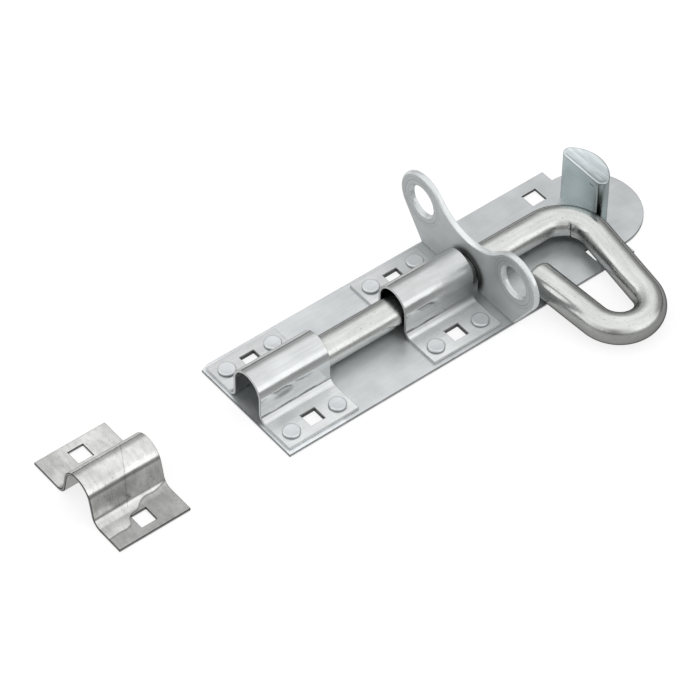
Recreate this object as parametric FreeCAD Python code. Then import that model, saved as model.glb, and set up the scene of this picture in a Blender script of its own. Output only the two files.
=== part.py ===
import FreeCAD, Part
import math
import os

# A padbolt: a bent round bar that slides and turns in two straps on a plate,
# with an eared bracket that holds a padlock, and a loose staple for the post.
# Millimetres. X runs along the bar with the loop at +X, Z points off the door,
# and the origin is the centre of the rectangular plate's back face.

V = FreeCAD.Vector

# Plate
plate_length = 215.0
plate_width = 70.0
plate_thickness = 1.5
plate_clip_along = 4.5
plate_clip_across = 1.5
lobe_radius = 27.6

# Bar and its loop
bar_diameter = 16.0
axis_above_plate = 9.6
nose_ahead_of_guide_middle = 3.1
nose_rounding = 2.5
bend_radius = 19.2
bend_angle = 97.6
outer_leg_length = 42.3
turn_radius = 16.0
turn_angle = 167.7
tail_leg_length = 40.0
tail_rounding = 3.0
rest_droop = 2.0

# Folded straps that guide the bar
strap_thickness = 1.5
guide_length = 41.8
guide_width = 65.0
guide_inner_width = 18.2
guide_inner_height = 23.2
guide_fold_radius = 4.0
front_guide_inset = 1.7

# Carriage-bolt holes
square_hole = 8.6
guide_hole_from_edge = 9.0
end_hole_from_end = 14.9
end_hole_from_edge = 11.2

# Rivets
rivet_head_diameter = 9.0
rivet_head_height = 1.5
rivet_head_rounding = 0.6
rivet_shank_diameter = 5.0
rivet_tail_diameter = 6.8
rivet_tail_depth = 0.9
rivet_from_end = 7.1
rivet_from_edge = 7.5

# Eared bracket
bracket_thickness = 3.0
bracket_to_stop = 70.6
bracket_to_guide = 5.0
bracket_overhang = 0.4
bracket_heel_rounding = 1.2
bracket_front_rounding = 1.7
bracket_back_rounding = 0.4
bracket_centre_y = 0.9
ear_centre_y = 34.8
ear_centre_height = 27.3
ear_radius = 16.1
ear_hole_diameter = 17.0
ear_hole_front_rounding = 1.6
ear_hole_back_rounding = 0.3
valley_height = 28.3
bar_hole_clearance = 0.5

# Back stop, a rolled sheet with a closed top
stop_from_plate_end = 4.9
stop_centre_y = 2.4
stop_depth = 13.0
stop_back_radius = 19.05
stop_height = 30.9
stop_sheet = 1.4
stop_corner_rounding = 3.8
stop_top_rounding = 0.7
stop_clearance = 0.4
seam_from_flat_end = 0.6
seam_depth_top = 4.2
seam_depth_bottom = 3.0

# Staple for the door post
staple_from_plate_end = 55.9
staple_length = 40.8
staple_width = 67.6
staple_shift = 1.6
staple_hole_from_edge = 9.0
staple_clearance = 0.9
staple_head_room = 2.1
staple_wall_lean = 12.0
staple_fold_radius = 5.0

# Derived places
plate_top = plate_thickness
axis_z = plate_top + axis_above_plate
bar_radius = bar_diameter / 2.0
half_plate = plate_width / 2.0
front_end = -plate_length / 2.0
rear_end = plate_length / 2.0
stop_face_x = rear_end - stop_from_plate_end
bend_start_x = stop_face_x - stop_clearance - bar_radius - bend_radius
bracket_face_x = stop_face_x - bracket_to_stop - bracket_thickness
rear_guide_x = bracket_face_x - bracket_to_guide - guide_length / 2.0
front_guide_x = front_end + front_guide_inset + guide_length / 2.0
nose_x = front_guide_x - nose_ahead_of_guide_middle
guide_hole_y = guide_width / 2.0 - guide_hole_from_edge
end_hole_x = rear_end - end_hole_from_end
end_hole_y = half_plate - end_hole_from_edge
rivet_y = guide_width / 2.0 - rivet_from_edge
rivet_reach_x = guide_length / 2.0 - rivet_from_end
bracket_base_half = half_plate + bracket_overhang
staple_x = front_end - staple_from_plate_end - staple_length / 2.0
staple_hole_y = staple_width / 2.0 - staple_hole_from_edge


def box(x0, x1, y0, y1, z0, z1):
    return Part.makeBox(x1 - x0, y1 - y0, z1 - z0, V(x0, y0, z0))


def upright(radius, x, y, z0, z1):
    return Part.makeCylinder(radius, z1 - z0, V(x, y, z0))


def along_x(radius, y, z, x0, x1):
    return Part.makeCylinder(radius, x1 - x0, V(x0, y, z), V(1, 0, 0))


def square_cutter(x, y, z0, z1):
    h = square_hole / 2.0
    return box(x - h, x + h, y - h, y + h, z0, z1)


def rivet_places(guide_x):
    return [(guide_x + sx * rivet_reach_x, sy * rivet_y) for sx in (-1, 1) for sy in (-1, 1)]


def side_arc(y, z, radius, side, start, end):
    """Arc in the YZ plane; angles from +Y in degrees, flipped to -Y when side is -1."""
    points = []
    for share in (0.0, 0.5, 1.0):
        a = math.radians(start + (end - start) * share)
        points.append(V(0, side * (y + radius * math.cos(a)), z + radius * math.sin(a)))
    return Part.Arc(*points).toShape(), points[0], points[2]


def strap_side(half_width, half_inside, crown_z, base_z, fold, lean, inner, side):
    """Edges of one half of one strap surface, from flange edge to the crown's start."""
    t = strap_thickness
    a = math.radians(lean)
    outer = half_inside + t
    fold_z = base_z + t + fold
    drop = (crown_z + outer * math.sin(a) - fold_z + fold * math.sin(a)) / math.cos(a)
    fold_y = (outer + fold) * math.cos(a) + drop * math.sin(a)
    bend = fold + t if inner else fold
    curve, foot, heel = side_arc(fold_y, fold_z, bend, side, 270.0, 180.0 + lean)
    flange = Part.makeLine(V(0, side * half_width, foot.z), foot)
    crown = half_inside if inner else outer
    shoulder = V(0, side * crown * math.cos(a), crown_z + crown * math.sin(a))
    return [flange, curve, Part.makeLine(heel, shoulder)], shoulder


def strap(x, length, near_half, far_half, inside_width, inside_height, base_z, fold, lean=0.0):
    """Folded strap: two flanges, two walls and a round crown, in one sheet."""
    half_inside = inside_width / 2.0
    crown_z = base_z + inside_height - half_inside
    edges = []
    for inner in (True, False):
        radius = half_inside if inner else half_inside + strap_thickness
        shoulders = []
        for side, half in ((1, far_half), (-1, near_half)):
            run, shoulder = strap_side(half, half_inside, crown_z, base_z, fold, lean, inner, side)
            edges += run
            shoulders.append(shoulder)
        edges.append(Part.Arc(shoulders[0], V(0, 0, crown_z + radius), shoulders[1]).toShape())
    for y in (far_half, -near_half):
        edges.append(Part.makeLine(V(0, y, base_z), V(0, y, base_z + strap_thickness)))
    wire = Part.Wire(Part.__sortEdges__(edges))
    solid = Part.Face(wire).extrude(V(length, 0, 0))
    solid.translate(V(x - length / 2.0, 0, 0))
    return solid


def rivet(x, y):
    """Button head, shank and a countersunk tail flush with the plate's back."""
    head_z = plate_top + strap_thickness
    r = rivet_shank_diameter / 2.0
    head = upright(rivet_head_diameter / 2.0, x, y, head_z, head_z + rivet_head_height)
    rim = [e for e in head.Edges if e.BoundBox.ZMin > head_z + rivet_head_height - 0.01
           and len(e.Vertexes) == 1]
    head = head.makeFillet(rivet_head_rounding, rim)
    shank = upright(r, x, y, 0.0, head_z)
    tail = Part.makeCone(rivet_tail_diameter / 2.0, r, rivet_tail_depth, V(x, y, 0))
    return head.fuse([shank, tail]).removeSplitter()


def rivet_hole(x, y):
    r = rivet_shank_diameter / 2.0
    shank = upright(r, x, y, -1.0, plate_top + strap_thickness + 1.0)
    tail = Part.makeCone(rivet_tail_diameter / 2.0, r, rivet_tail_depth, V(x, y, 0))
    return shank.fuse(tail)


def base_plate():
    body = box(front_end, rear_end, -half_plate, half_plate, 0, plate_top)
    body = body.fuse(upright(lobe_radius, rear_end, 0, 0, plate_top))
    corner = V(front_end, half_plate, -1)
    clip = Part.makePolygon([corner, corner + V(plate_clip_along, 0, 0),
                             corner - V(0, plate_clip_across, 0), corner])
    cutters = [Part.Face(clip).extrude(V(0, 0, plate_top + 2))]
    for guide_x in (front_guide_x, rear_guide_x):
        for side in (-1, 1):
            cutters.append(square_cutter(guide_x, side * guide_hole_y, -1, plate_top + 1))
        cutters += [rivet_hole(x, y) for x, y in rivet_places(guide_x)]
    for side in (-1, 1):
        cutters.append(square_cutter(end_hole_x, side * end_hole_y, -1, plate_top + 1))
    return body.cut(cutters).removeSplitter()


def guide(x):
    half = guide_width / 2.0
    body = strap(x, guide_length, half, half, guide_inner_width, guide_inner_height,
                 plate_top, guide_fold_radius)
    cutters = [square_cutter(x, side * guide_hole_y, plate_top - 1, plate_top + 5)
               for side in (-1, 1)]
    cutters += [rivet_hole(rx, ry) for rx, ry in rivet_places(x)]
    return body.cut(cutters)


def staple():
    """Keeper for the door post: leaning walls, and flanges that sit a little off the bar's line."""
    half = staple_width / 2.0
    inside = bar_diameter + 2.0 * staple_clearance
    height = axis_z + bar_radius + staple_head_room
    body = strap(staple_x, staple_length, half - staple_shift, half + staple_shift, inside,
                 height, 0.0, staple_fold_radius, staple_wall_lean)
    cutters = [square_cutter(staple_x, staple_shift + side * staple_hole_y, -1, 5)
               for side in (-1, 1)]
    return body.cut(cutters)


def tangent_point(y, z, cy, cz, radius):
    """Point where the line from (y, z) touches the circle on its outer side."""
    dy, dz = y - cy, z - cz
    gap = math.hypot(dy, dz)
    lean = math.atan2(dz, dy) + math.acos(radius / gap)
    return cy + radius * math.cos(lean), cz + radius * math.sin(lean)


def bracket_outline():
    """Wings of the bracket: two round ears, straight flanks and a round valley."""
    base = plate_top
    ear_z = base + ear_centre_height
    valley_z = base + valley_height
    rise = valley_z - ear_z
    valley_radius = (ear_centre_y ** 2 + rise ** 2 - ear_radius ** 2) / (2.0 * (ear_radius - rise))
    centre_z = valley_z + valley_radius
    reach = ear_radius / (ear_radius + valley_radius)
    join_y = ear_centre_y * (1.0 - reach)
    join_z = ear_z + (centre_z - ear_z) * reach
    end = math.atan2(join_z - ear_z, join_y - ear_centre_y)
    far_half = bracket_base_half - bracket_centre_y
    near_half = bracket_base_half + bracket_centre_y
    edges = [Part.makeLine(V(0, -near_half, base), V(0, far_half, base))]
    for side, half in ((1, far_half), (-1, near_half)):
        ty, tz = tangent_point(half, base, ear_centre_y, ear_z, ear_radius)
        start = math.atan2(tz - ear_z, ty - ear_centre_y)
        middle = (start + end) / 2.0
        my = ear_centre_y + ear_radius * math.cos(middle)
        mz = ear_z + ear_radius * math.sin(middle)
        edges.append(Part.makeLine(V(0, side * half, base), V(0, side * ty, tz)))
        edges.append(Part.Arc(V(0, side * ty, tz), V(0, side * my, mz),
                              V(0, side * join_y, join_z)).toShape())
    edges.append(Part.Arc(V(0, join_y, join_z), V(0, 0, valley_z),
                          V(0, -join_y, join_z)).toShape())
    return Part.Wire(Part.__sortEdges__(edges))


def locking_bracket():
    """Thick sheet wall across the plate, with the bar's passage and two padlock holes."""
    x0 = bracket_face_x
    x1 = x0 + bracket_thickness
    ear_z = plate_top + ear_centre_height
    hole_radius = ear_hole_diameter / 2.0
    wall = Part.Face(bracket_outline()).extrude(V(bracket_thickness, 0, 0))
    wall.translate(V(x0, bracket_centre_y, 0))
    for face, rounding in ((x0, bracket_front_rounding), (x1, bracket_back_rounding)):
        rims = [e for e in wall.Edges if abs(e.BoundBox.XMax - face) < 0.01
                and abs(e.BoundBox.XMin - face) < 0.01 and e.BoundBox.ZMax > plate_top + 0.5]
        wall = wall.makeFillet(rounding, rims)
    for side in (-1, 1):
        hole_y = bracket_centre_y + side * ear_centre_y
        wall = wall.cut(along_x(hole_radius, hole_y, ear_z, x0 - 1, x1 + 1))
    for face, rounding in ((x0, ear_hole_front_rounding), (x1, ear_hole_back_rounding)):
        circles = [e for e in wall.Edges if len(e.Vertexes) == 1
                   and abs(e.BoundBox.Center.x - face) < 0.01]
        wall = wall.makeFillet(rounding, circles)
    heel = bracket_heel_rounding
    half = bracket_base_half + 1.0
    roll = Part.makeCylinder(heel, 2.0 * half, V(x0 + heel, -half, plate_top + heel), V(0, 1, 0))
    strip = box(x0 - 1, x0 + heel, -half, half, plate_top - 1, plate_top + heel)
    passage = bar_radius + bar_hole_clearance
    tunnel = along_x(passage, 0, axis_z, x0 - 1, x1 + 1)
    doorway = box(x0 - 1, x1 + 1, -passage, passage, plate_top - 1, axis_z)
    return wall.cut([strip.cut(roll), tunnel, doorway]).removeSplitter()


def stop_plan(inset):
    """D-shaped block of the back stop, shrunk by the inset."""
    top = plate_top + stop_height
    radius = stop_back_radius
    disc = upright(radius - inset, stop_face_x + stop_depth - radius, stop_centre_y,
                   plate_top, top)
    front = box(stop_face_x + inset, stop_face_x + stop_depth, stop_centre_y - radius,
                stop_centre_y + radius, plate_top, top)
    body = disc.common(front)
    corners = [e for e in body.Edges if abs(e.BoundBox.ZMax - e.BoundBox.ZMin) > stop_height / 2.0
               and e.BoundBox.XMax < stop_face_x + inset + 0.01]
    return body.makeFillet(stop_corner_rounding - inset, corners)


def back_stop():
    """Rolled sheet stop with a closed top and an open seam at its near front corner."""
    x = stop_face_x
    ceiling = plate_top + stop_height - stop_sheet
    outside = stop_plan(0.0)
    rim = [e for e in outside.Edges if e.BoundBox.ZMin > ceiling]
    outside = outside.makeFillet(stop_top_rounding, rim)
    room = box(x, x + stop_depth, stop_centre_y - stop_back_radius,
               stop_centre_y + stop_back_radius, plate_top, ceiling)
    shell = outside.cut(stop_plan(stop_sheet).common(room))
    corner_x = stop_corner_rounding + stop_back_radius - stop_depth
    flat_half = math.sqrt((stop_back_radius - stop_corner_rounding) ** 2 - corner_x ** 2)
    seam_y = stop_centre_y - flat_half - seam_from_flat_end
    wedge = Part.makePolygon([V(x - 1, seam_y, plate_top - 1),
                              V(x + seam_depth_bottom, seam_y, plate_top - 1),
                              V(x + seam_depth_top, seam_y, ceiling),
                              V(x - 1, seam_y, ceiling),
                              V(x - 1, seam_y, plate_top - 1)])
    return shell.cut(Part.Face(wedge).extrude(V(0, -stop_corner_rounding, 0)))


def bolt_shank():
    """Straight part of the bar, from its nose to where the bend starts."""
    bar = along_x(bar_radius, 0, axis_z, nose_x, bend_start_x)
    rim = [e for e in bar.Edges if e.BoundBox.XMax < nose_x + 0.01]
    return bar.makeFillet(nose_rounding, rim)


def bolt_loop():
    """Bent part of the bar: a bend, an outer leg, a return turn and a tail."""
    steps = [(bend_radius, bend_angle, outer_leg_length),
             (turn_radius, turn_angle, tail_leg_length)]
    place = V(bend_start_x, 0, axis_z)
    heading = 0.0
    edges = []
    for radius, angle, run in steps:
        points = [place]
        for share in (0.5, 1.0):
            turned = heading + math.radians(angle) * share
            points.append(place + V(radius * (math.sin(turned) - math.sin(heading)),
                                    -radius * (math.cos(heading) - math.cos(turned)), 0))
        edges.append(Part.Arc(*points).toShape())
        heading += math.radians(angle)
        after = points[2] + V(run * math.cos(heading), -run * math.sin(heading), 0)
        edges.append(Part.makeLine(points[2], after))
        place = after
    spine = Part.Wire(edges)
    ring = Part.Wire(Part.makeCircle(bar_radius, V(bend_start_x, 0, axis_z), V(1, 0, 0)))
    bar = spine.makePipeShell([ring], True, False)
    rim = [e for e in bar.Edges if (e.BoundBox.Center - place).Length < 0.5]
    bar = bar.makeFillet(tail_rounding, rim)
    bar.rotate(V(0, 0, axis_z), V(1, 0, 0), rest_droop)
    return bar


def main():
    os.makedirs("parts", exist_ok=True)
    nodes = {
        "base_plate": base_plate(),
        "front_guide": guide(front_guide_x),
        "rear_guide": guide(rear_guide_x),
        "front_guide_rivets": Part.Compound([rivet(x, y) for x, y in rivet_places(front_guide_x)]),
        "rear_guide_rivets": Part.Compound([rivet(x, y) for x, y in rivet_places(rear_guide_x)]),
        "locking_bracket": locking_bracket(),
        "back_stop": back_stop(),
        "bolt_shank": bolt_shank(),
        "bolt_loop": bolt_loop(),
        "staple": staple(),
    }
    for name, shape in nodes.items():
        shape.exportStep("parts/" + name + ".step")
        b = shape.BoundBox
        print(name, len(shape.Solids), round(shape.Volume, 1), shape.isValid(),
              [round(v, 2) for v in (b.XMin, b.XMax, b.YMin, b.YMax, b.ZMin, b.ZMax)])


main()
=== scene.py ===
import math
import bmesh
import bpy
import numpy as np
from mathutils import Matrix


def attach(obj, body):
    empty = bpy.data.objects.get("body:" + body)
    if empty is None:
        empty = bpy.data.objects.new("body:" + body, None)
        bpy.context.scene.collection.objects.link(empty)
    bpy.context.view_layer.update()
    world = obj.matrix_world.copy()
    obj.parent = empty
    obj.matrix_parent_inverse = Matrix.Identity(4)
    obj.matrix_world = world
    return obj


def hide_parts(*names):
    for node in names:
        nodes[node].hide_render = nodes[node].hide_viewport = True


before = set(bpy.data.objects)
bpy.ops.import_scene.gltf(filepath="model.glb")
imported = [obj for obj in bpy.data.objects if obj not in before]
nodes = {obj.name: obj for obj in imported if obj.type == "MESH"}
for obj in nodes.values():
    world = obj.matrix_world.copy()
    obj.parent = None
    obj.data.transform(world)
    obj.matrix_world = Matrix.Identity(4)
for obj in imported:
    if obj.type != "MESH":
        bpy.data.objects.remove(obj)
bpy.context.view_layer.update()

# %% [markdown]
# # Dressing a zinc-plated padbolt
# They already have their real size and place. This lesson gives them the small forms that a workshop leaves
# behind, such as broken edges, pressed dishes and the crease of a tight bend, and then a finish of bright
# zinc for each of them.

MM = 0.001
print("bare solids:", ", ".join(sorted(nodes)))

# %% [markdown]
# ## The sizes that the pieces share
# A sheet-metal worker marks out from one end of the plate, and so do we. Every length below is in
# millimetres, and each place is worked out from the places before it, so that a new piece lands exactly on
# the solid that it dresses.

# %% Plate, straps and their places
plate_thick, plate_half_length, plate_half_width, lobe_radius = 1.5, 107.5, 35.0, 27.6
sheet_thick, strap_length, strap_width = 1.5, 41.8, 65.0
strap_inside, strap_rise, strap_fold, strap_inset = 18.2, 23.2, 4.0, 1.7
stop_inset, stop_to_wall, wall_thick, wall_to_strap = 4.9, 70.6, 3.0, 5.0
front_strap_x = -plate_half_length + strap_inset + strap_length / 2
stop_face_x = plate_half_length - stop_inset
wall_face_x = stop_face_x - stop_to_wall - wall_thick
rear_strap_x = wall_face_x - wall_to_strap - strap_length / 2
square_side, strap_hole_y, end_hole_inset, end_hole_y = 8.6, 23.5, 14.9, 23.8
end_hole_x = plate_half_length - end_hole_inset
rivet_inset, rivet_y = 7.1, 25.0
rivet_dx = strap_length / 2 - rivet_inset
print("straps at x =", round(front_strap_x, 1), round(rear_strap_x, 1))

# %% The bar and the staple
bar_radius, bar_lift, nose_lead, stop_gap = 8.0, 9.6, 3.1, 0.4
bar_z = plate_thick + bar_lift
nose_x = front_strap_x - nose_lead
bend_radius, bend_turn, leg_length = 19.2, math.radians(97.6), 42.3
bend_x = stop_face_x - stop_gap - bar_radius - bend_radius
return_radius, return_turn, tail_length = 16.0, math.radians(167.7), 40.0
staple_gap, staple_length, staple_width, staple_fold = 55.9, 40.8, 67.6, 5.0
staple_x = -plate_half_length - staple_gap - staple_length / 2
staple_shift, staple_lean, staple_hole_inset = 1.6, 12.0, 9.0
print("bend starts at x =", round(bend_x, 1), "and the staple stands at x =", round(staple_x, 1))

# %% [markdown]
# ## From arrays to a mesh
# A shape here is an array of points with rows and columns. Blender wants a flat list of points and a list of
# faces, and `foreach_set` hands over whole arrays at once. The small step of merging points that fall on each
# other closes seams and the poles of turned forms. A second map of two numbers for each point says where it
# lay on the flat sheet or along the bar, so that rolling marks can follow the metal round its folds.

# %% Make a piece from points, faces and their place on the flat metal
def add_object(name, data):
    made = bpy.data.objects.new(name, data)
    bpy.context.scene.collection.objects.link(made)
    return made


def make_piece(name, points, faces, lay, body, stands_for, cut_faces=None, smooth=40):
    """Points are in millimetres. cut_faces marks the faces that a shear or punch has left."""
    mesh = bpy.data.meshes.new(name)
    mesh.from_pydata((points * MM).tolist(), [], faces.tolist())
    loops = np.empty(len(mesh.loops), dtype=np.int32)
    mesh.loops.foreach_get("vertex_index", loops)
    layer = mesh.uv_layers.new(name="lay")
    layer.data.foreach_set("uv", (lay[loops] * MM).astype(np.float32).ravel())
    if cut_faces is not None:
        mesh.polygons.foreach_set("material_index", cut_faces.astype(np.int32))
    welded = bmesh.new()
    welded.from_mesh(mesh)
    bmesh.ops.remove_doubles(welded, verts=welded.verts, dist=1e-7)
    bmesh.ops.dissolve_degenerate(welded, edges=welded.edges, dist=1e-7)
    welded.to_mesh(mesh)
    welded.free()
    mesh.shade_smooth()
    mesh.set_sharp_from_angle(angle=math.radians(smooth))
    piece = add_object(name, mesh)
    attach(piece, body)
    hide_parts(*stands_for)
    print(name, "has", len(mesh.polygons), "faces")
    return piece


def break_edges(piece, width, segments=2, finish=2):
    """A tumbler takes the sharpness off an edge: a small bevel, whose faces take a finish that paints a dark outline
    along the edge as painted shade.
    """
    bevel = piece.modifiers.new("broken edges", "BEVEL")
    bevel.width, bevel.segments, bevel.limit_method = width * MM, segments, "ANGLE"
    bevel.angle_limit, bevel.harden_normals, bevel.material = math.radians(50), True, finish


# %% [markdown]
# ## A sheet with two sides
# All sheet pieces share one helper. It takes the points of the top side, the matching points of the under
# side, and a table of the cells that are metal. Cells that a punch has taken out are dropped, and wherever
# metal ends, a strip of faces joins the two sides. Those strips are the sheared edges.

# %% Close a sheet round its outline and its holes
def close_sheet(top, under, metal):
    """Rows x columns of points on both sides; metal has one row and one column fewer."""
    rows, columns = top.shape[:2]
    at = np.arange(rows * columns).reshape(rows, columns)
    below = at + rows * columns
    a, b, c, d = at[:-1, :-1], at[1:, :-1], at[1:, 1:], at[:-1, 1:]
    upper = np.stack([a, b, c, d], -1)[metal]
    lower = np.stack([a, d, c, b], -1)[metal] + rows * columns
    field = np.pad(metal, 1)
    row_ends = field[1:, 1:-1].astype(int) - field[:-1, 1:-1]
    column_ends = field[1:-1, 1:].astype(int) - field[1:-1, :-1]
    strips = []
    across = np.stack([at[:, :-1], at[:, 1:], below[:, 1:], below[:, :-1]], -1)
    along = np.stack([at[1:], at[:-1], below[:-1], below[1:]], -1)
    for ends, quad in ((row_ends, across), (column_ends, along)):
        strips += [quad[ends == 1], quad[ends == -1][:, ::-1]]
    faces = np.concatenate([upper, lower] + strips)
    cut = np.arange(len(faces)) >= len(upper) + len(lower)
    points = np.concatenate([top.reshape(-1, 3), under.reshape(-1, 3)])
    return points, faces, cut


def lines(*stops, step):
    """Grid lines through every stop, with steps no longer than the given one between them."""
    stops = sorted(set(round(s, 4) for s in stops))
    parts = [np.linspace(p, q, max(2, math.ceil((q - p) / step) + 1))[:-1] for p, q in zip(stops, stops[1:])]
    return np.concatenate(parts + [[stops[-1]]])


def punched(x_lines, y_lines, centres, side):
    """True for the cells whose middle lies in none of the square holes."""
    mx, my = (x_lines[:-1] + x_lines[1:]) / 2, (y_lines[:-1] + y_lines[1:]) / 2
    gone = [(abs(mx - x)[:, None] < side / 2) & (abs(my - y)[None] < side / 2) for x, y in centres]
    return ~np.any(gone, axis=0)


# %% [markdown]
# ## The plate
# The plate is blanked from 1.5 mm sheet in one stroke: a long rectangle with a round lobe behind the stop, six
# square holes and one clipped corner. As a surface it is a flat grid. For the lobe a square of that grid is
# rounded into a half disc, so that no cell shrinks to a point, and at the front each row is pushed back where
# the corner is clipped.

# %% Blank the plate
def blank_plate():
    """x runs along, y across. Past the rectangle u runs 0..1 along and v -1..1 across, and a point lies at
    u * sqrt(1 - v * v / 2), v * sqrt(1 - u * u / 2) of the lobe's radius, which turns the square into a disc.
    The back ends a hair short of zero, so that the tails of the rivets show on it."""
    holes = [(x, s * strap_hole_y) for x in (front_strap_x, rear_strap_x) for s in (-1, 1)]
    holes += [(end_hole_x, s * end_hole_y) for s in (-1, 1)]
    half = square_side / 2
    clip_across, clip_along, clip_fade, lobe_rows, tails_proud = 1.5, 4.5, 12.0, 12, 0.02
    clip_y = plate_half_width - clip_across
    y_stops = (plate_half_width, lobe_radius, strap_hole_y - half, strap_hole_y + half, end_hole_y - half,
               end_hole_y + half, clip_y)
    y = lines(*[s * v for s in (-1, 1) for v in y_stops], step=4)
    x = lines(-plate_half_length, plate_half_length, *[h[0] + s * half for h in holes for s in (-1, 1)], step=4)
    long_x = np.concatenate([x, plate_half_length + lobe_radius * np.linspace(0, 1, lobe_rows + 1)[1:]])
    px, py = np.meshgrid(long_x, y, indexing="ij")
    clip = np.maximum(0, y - clip_y) / clip_across * clip_along
    px = px + clip[None] * np.clip((-plate_half_length + clip_fade - px) / clip_fade, 0, 1)
    metal = punched(long_x, y, holes, square_side)
    middle = abs(y[:-1] + y[1:]) / 2
    metal[len(x) - 1:, middle > lobe_radius] = False
    u, v = np.maximum(0, px - plate_half_length) / lobe_radius, np.clip(py / lobe_radius, -1, 1)
    px = np.where(u > 0, plate_half_length + lobe_radius * u * np.sqrt(1 - v * v / 2), px)
    py = np.where(u > 0, py * np.sqrt(1 - u * u / 2), py)
    top = np.stack([px, py, np.full_like(px, plate_thick)], -1)
    under = top * [1, 1, 0] + [0, 0, tails_proud]
    points, faces, cut = close_sheet(top, under, metal)
    return points, faces, points[:, :2], cut


points, faces, lay, cut = blank_plate()
plate = make_piece("plate", points, faces, lay, "base", ["base_plate"], cut)
break_edges(plate, 0.3)

# %% [markdown]
# ## Folded straps
# A strap is a strip bent over a former: flange, fold, wall, round crown, wall, fold, flange. Its section is a
# chain of straight runs and arcs, and the sheet is that chain carried along x. At each point the section also
# has a normal, so the under side is the same chain moved in by the thickness of the sheet. A press never
# leaves the walls quite flat, so some of them carry a shallow dent.

# %% The section of a strap and the strap itself
def half_section(half_width, half_inside, crown_z, base_z, fold, lean, y_stops):
    """Points and normals of one side, from the flange's edge up to the top of the crown. The fold is an
    arc from straight down to square with the wall, and the wall leans out by the given angle."""
    side, low = half_inside + sheet_thick, base_z + sheet_thick
    fold_z = low + fold
    drop = (crown_z + side * math.sin(lean) - fold_z + fold * math.sin(lean)) / math.cos(lean)
    fold_y = (side + fold) * math.cos(lean) + drop * math.sin(lean)
    flange = lines(fold_y, half_width, *y_stops, step=3)[::-1]
    turn = np.linspace(1.5 * math.pi, math.pi + lean, 13)[1:]
    down = np.linspace(1, 0, 8)[1:-1]
    foot = np.array([fold_y + fold * math.cos(turn[-1]), fold_z + fold * math.sin(turn[-1])])
    heel = np.array([side * math.cos(lean), crown_z + side * math.sin(lean)])
    wall = heel + (foot - heel) * down[:, None]
    over = np.linspace(lean, math.pi / 2, 19)
    y = np.concatenate([flange, fold_y + fold * np.cos(turn), wall[:, 0], side * np.cos(over)])
    z = np.concatenate([flange * 0 + low, fold_z + fold * np.sin(turn), wall[:, 1], crown_z + side * np.sin(over)])
    ny = np.concatenate([flange * 0, -np.cos(turn), np.full(len(down), math.cos(lean)), np.cos(over)])
    nz = np.concatenate([flange * 0 + 1, -np.sin(turn), np.full(len(down), math.sin(lean)), np.sin(over)])
    return y, z, ny, nz


def fold_strap(x, length, widths, inside, rise, base_z, fold, hole_ys, lean=0.0, dents=()):
    """The section carried along x; each dent is (x, z, depth, size) on the near wall."""
    half, inner = square_side / 2, inside / 2
    near, far = (half_section(abs(w), inner, base_z + rise - inner, base_z, fold, lean,
                              (abs(h) - half, abs(h) + half)) for w, h in zip(widths, hole_ys))
    y, ny = (np.concatenate([-near[k], far[k][-2::-1]]) for k in (0, 2))
    z, nz = (np.concatenate([near[k], far[k][-2::-1]]) for k in (1, 3))
    run = np.concatenate([[0], np.cumsum(np.hypot(np.diff(y), np.diff(z)))])
    along = lines(x - length / 2, x - half, x + half, x + length / 2, step=1.5)
    px, py = np.meshgrid(along, y, indexing="ij")
    pz = np.broadcast_to(z, px.shape).copy()
    push = np.zeros_like(px)
    for dent_x, dent_z, depth, size in dents:
        near_wall = (py < 0) & (pz > base_z + sheet_thick + 1)
        push -= near_wall * depth * np.exp(-((px - dent_x) ** 2 + (pz - dent_z) ** 2) / size ** 2)
    top = np.stack([px, py + push * ny, pz + push * nz], -1)
    under = top - sheet_thick * np.stack([px * 0, px * 0 + ny, px * 0 + nz], -1)
    metal = punched(along, y, [(x, hole_ys[0]), (x, hole_ys[1])], square_side)
    points, faces, cut = close_sheet(top, under, metal)
    lay = np.tile(np.stack([px, np.broadcast_to(run, px.shape)], -1).reshape(-1, 2), (2, 1))
    return points, faces, lay, cut


for name, x, dents in (("front_strap", front_strap_x, [(-91.0, 13.5, 0.16, 3.5), (-80.0, 10.0, 0.1, 5.0)]),
                       ("rear_strap", rear_strap_x, [])):
    points, faces, lay, cut = fold_strap(x, strap_length, (-strap_width / 2, strap_width / 2), strap_inside,
                                         strap_rise, plate_thick, strap_fold, (-strap_hole_y, strap_hole_y),
                                         dents=dents)
    strap = make_piece(name, points, faces, lay, "base", [name.replace("strap", "guide")], cut)
    break_edges(strap, 0.25)

# %% [markdown]
# ## The staple
# The staple goes on the door post and takes the end of the bar. It is the same kind of folded strip with softer
# folds and walls that lean out, because it was bent over a rounder former. Its flanges came out unequal.

# %% Fold the staple
half = staple_width / 2
side_room, head_room = 1.8, 2.1
hole_reach = half - staple_hole_inset
points, faces, lay, cut = fold_strap(staple_x, staple_length, (staple_shift - half, staple_shift + half),
                                     2 * bar_radius + side_room, bar_z + bar_radius + head_room, 0.0, staple_fold,
                                     (staple_shift - hole_reach, staple_shift + hole_reach),
                                     math.radians(staple_lean), [(staple_x + 4, 10.0, 0.12, 6.0)])
staple = make_piece("post_staple", points, faces, lay, "base", ["staple"], cut)
break_edges(staple, 0.28)

# %% [markdown]
# ## Rivets
# A rivet starts as a pin with a flat button head. Its tail is hammered into a countersink at the back of the
# plate. The form is turned: a profile of radius and height, swept once round. Each head is struck by hand, so
# each one leans a little and has its own slightly sunk face.

# %% Faces between rings, and a way to turn a profile
head_z = plate_thick + sheet_thick


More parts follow.
